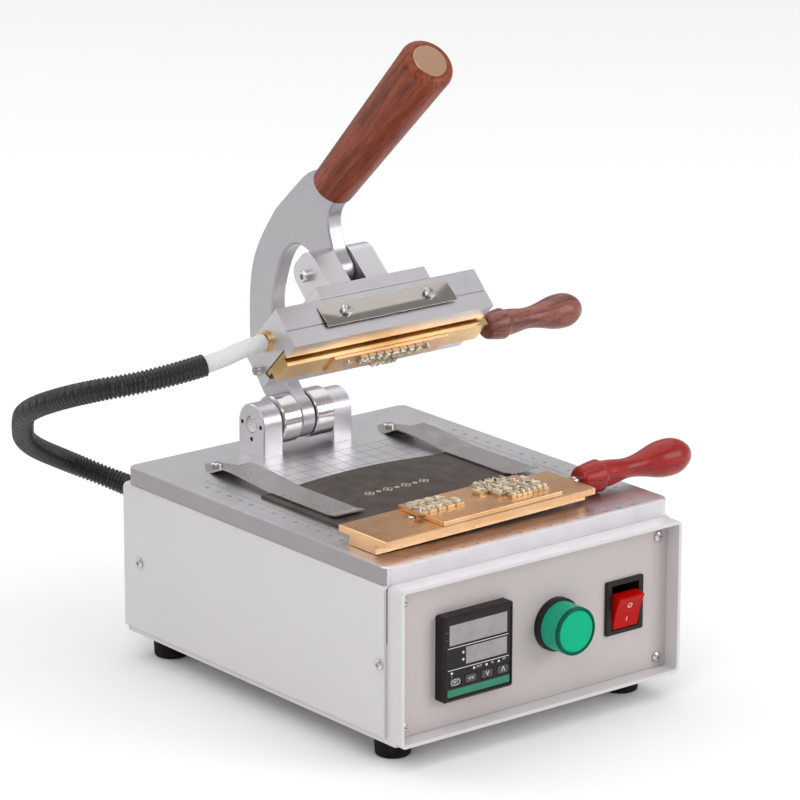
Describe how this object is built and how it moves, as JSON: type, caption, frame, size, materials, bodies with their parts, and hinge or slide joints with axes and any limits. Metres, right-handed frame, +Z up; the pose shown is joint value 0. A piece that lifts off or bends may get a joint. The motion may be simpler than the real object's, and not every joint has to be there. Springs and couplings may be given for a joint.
{
  "type": "hot foil stamper",
  "caption": "Bench hot foil stamping press: box housing with aluminium work table, spring-raised lever arm, heated head with slide-in type holder, and front controls.",
  "frame": {"origin": "on the floor under the middle of the machine's outline with its holders, conduit left out; the middle of the housing is at X -21.6, Y -1.0 mm", "axes": "+Z up; +X to the right along the front panel; +Y towards the back. The arm rests raised by 45 degrees"},
  "size_m": [0.3249, 0.3364, 0.3636],
  "materials": {
    "enamel": "satin white enamel",
    "panel_grey": "satin warm grey",
    "zinc_steel": "bright zinc",
    "black_steel": "black oxide",
    "foot_rubber": "matt",
    "satin_aluminium": "fine brushed, clear anodised",
    "bright_steel": "polished",
    "spring_steel": "oiled",
    "black_leather": "fine grain",
    "black_plastic": "fine texture",
    "display_grey": "gloss window",
    "green_lens": "gloss translucent",
    "relay_grey": "satin",
    "conduit_black": "corrugated",
    "walnut": "satin varnish",
    "copper_disc": "brushed",
    "brass_type": "fine milled",
    "white_sleeve": "braided",
    "red_lacquer": "gloss lacquer",
    "red_rocker": "gloss",
    "key_grey": "rubber keys"
  },
  "bodies": {
    "base": {"housing": "enamel", "cover": "enamel", "front_panel": "panel_grey", "rear_panel": "enamel", "case_screws": "zinc_steel", "feet": "foot_rubber", "foot_screws": "zinc_steel", "table_plate": "satin_aluminium", "table_rails": "zinc_steel", "table_bolts": "black_steel", "hinge_blocks": "satin_aluminium", "hinge_shaft": "bright_steel", "spring_barrels": "bright_steel", "torsion_springs": "spring_steel", "work_clips": "bright_steel", "clip_screws": "zinc_steel", "leather_piece": "black_leather", "controller_case": "black_plastic", "controller_face": "black_plastic", "display_windows": "display_grey", "lamp_body": "black_plastic", "lamp_lens": "green_lens", "lamp_nut": "black_plastic", "switch_frame": "black_plastic", "power_inlet": "black_plastic", "conduit_gland": "black_plastic", "relay": "relay_grey", "terminal_block": "relay_grey", "conduit": "conduit_black"},
    "arm": {"arm_plate": "satin_aluminium", "grip": "walnut", "grip_stud": "zinc_steel", "grip_disc": "copper_disc"},
    "head": {"bracket": "satin_aluminium", "pivot_bolt": "zinc_steel", "pivot_nut": "zinc_steel", "bracket_screws": "zinc_steel", "head_block": "satin_aluminium", "heaters": "bright_steel", "head_gland": "brass_type", "sensor": "zinc_steel", "face_strip": "bright_steel", "strip_screws": "zinc_steel", "heat_sleeve": "white_sleeve"},
    "installed_holder": {"bar_holder": "brass_type", "bar_type": "brass_type", "bar_type_screws": "zinc_steel", "bar_tang": "zinc_steel", "bar_handle": "walnut"},
    "spare_holder": {"spare_plate": "brass_type", "spare_type": "brass_type", "spare_screw": "zinc_steel", "spare_tang": "bright_steel", "spare_handle": "red_lacquer"},
    "switch_rocker": {"rocker": "red_rocker"},
    "set_key": {"key_set": "key_grey"},
    "shift_key": {"key_shift": "key_grey"},
    "down_key": {"key_down": "key_grey"},
    "up_key": {"key_up": "key_grey"}
  },
  "joints": [
    {"name": "arm_lower", "type": "hinge", "parent": "base", "child": "arm", "pos_m": [-0.0216, 0.094, 0.1295], "axis": [1, 0, 0], "range_deg": [0, 40], "stiffness_Nm_per_rad": 1.6, "springref_deg": -57.3, "deforming": ["conduit"]},
    {"name": "head_level", "type": "hinge", "parent": "arm", "child": "head", "pos_m": [-0.0216, 0.05497, 0.2227], "axis": [1, 0, 0], "range_deg": [-5, 5]},
    {"name": "type_holder_slide", "type": "slide", "parent": "head", "child": "installed_holder", "axis": [1, 0, 0], "range_m": [0, 0.146]},
    {"name": "spare_holder_lift", "type": "slide", "parent": "base", "child": "spare_holder", "axis": [0, 0, 1], "range_m": [0, 0.06]},
    {"name": "switch_rock", "type": "hinge", "parent": "base", "child": "switch_rocker", "pos_m": [0.0434, -0.111, 0.0575], "axis": [1, 0, 0], "range_deg": [-34, 0]},
    {"name": "set_key_press", "type": "slide", "parent": "base", "child": "set_key", "axis": [0, 1, 0], "range_m": [0, 0.0006], "stiffness_N_per_m": 400, "springref_m": -0.001},
    {"name": "shift_key_press", "type": "slide", "parent": "base", "child": "shift_key", "axis": [0, 1, 0], "range_m": [0, 0.0006], "stiffness_N_per_m": 400, "springref_m": -0.001},
    {"name": "down_key_press", "type": "slide", "parent": "base", "child": "down_key", "axis": [0, 1, 0], "range_m": [0, 0.0006], "stiffness_N_per_m": 400, "springref_m": -0.001},
    {"name": "up_key_press", "type": "slide", "parent": "base", "child": "up_key", "axis": [0, 1, 0], "range_m": [0, 0.0006], "stiffness_N_per_m": 400, "springref_m": -0.001}
  ]
}
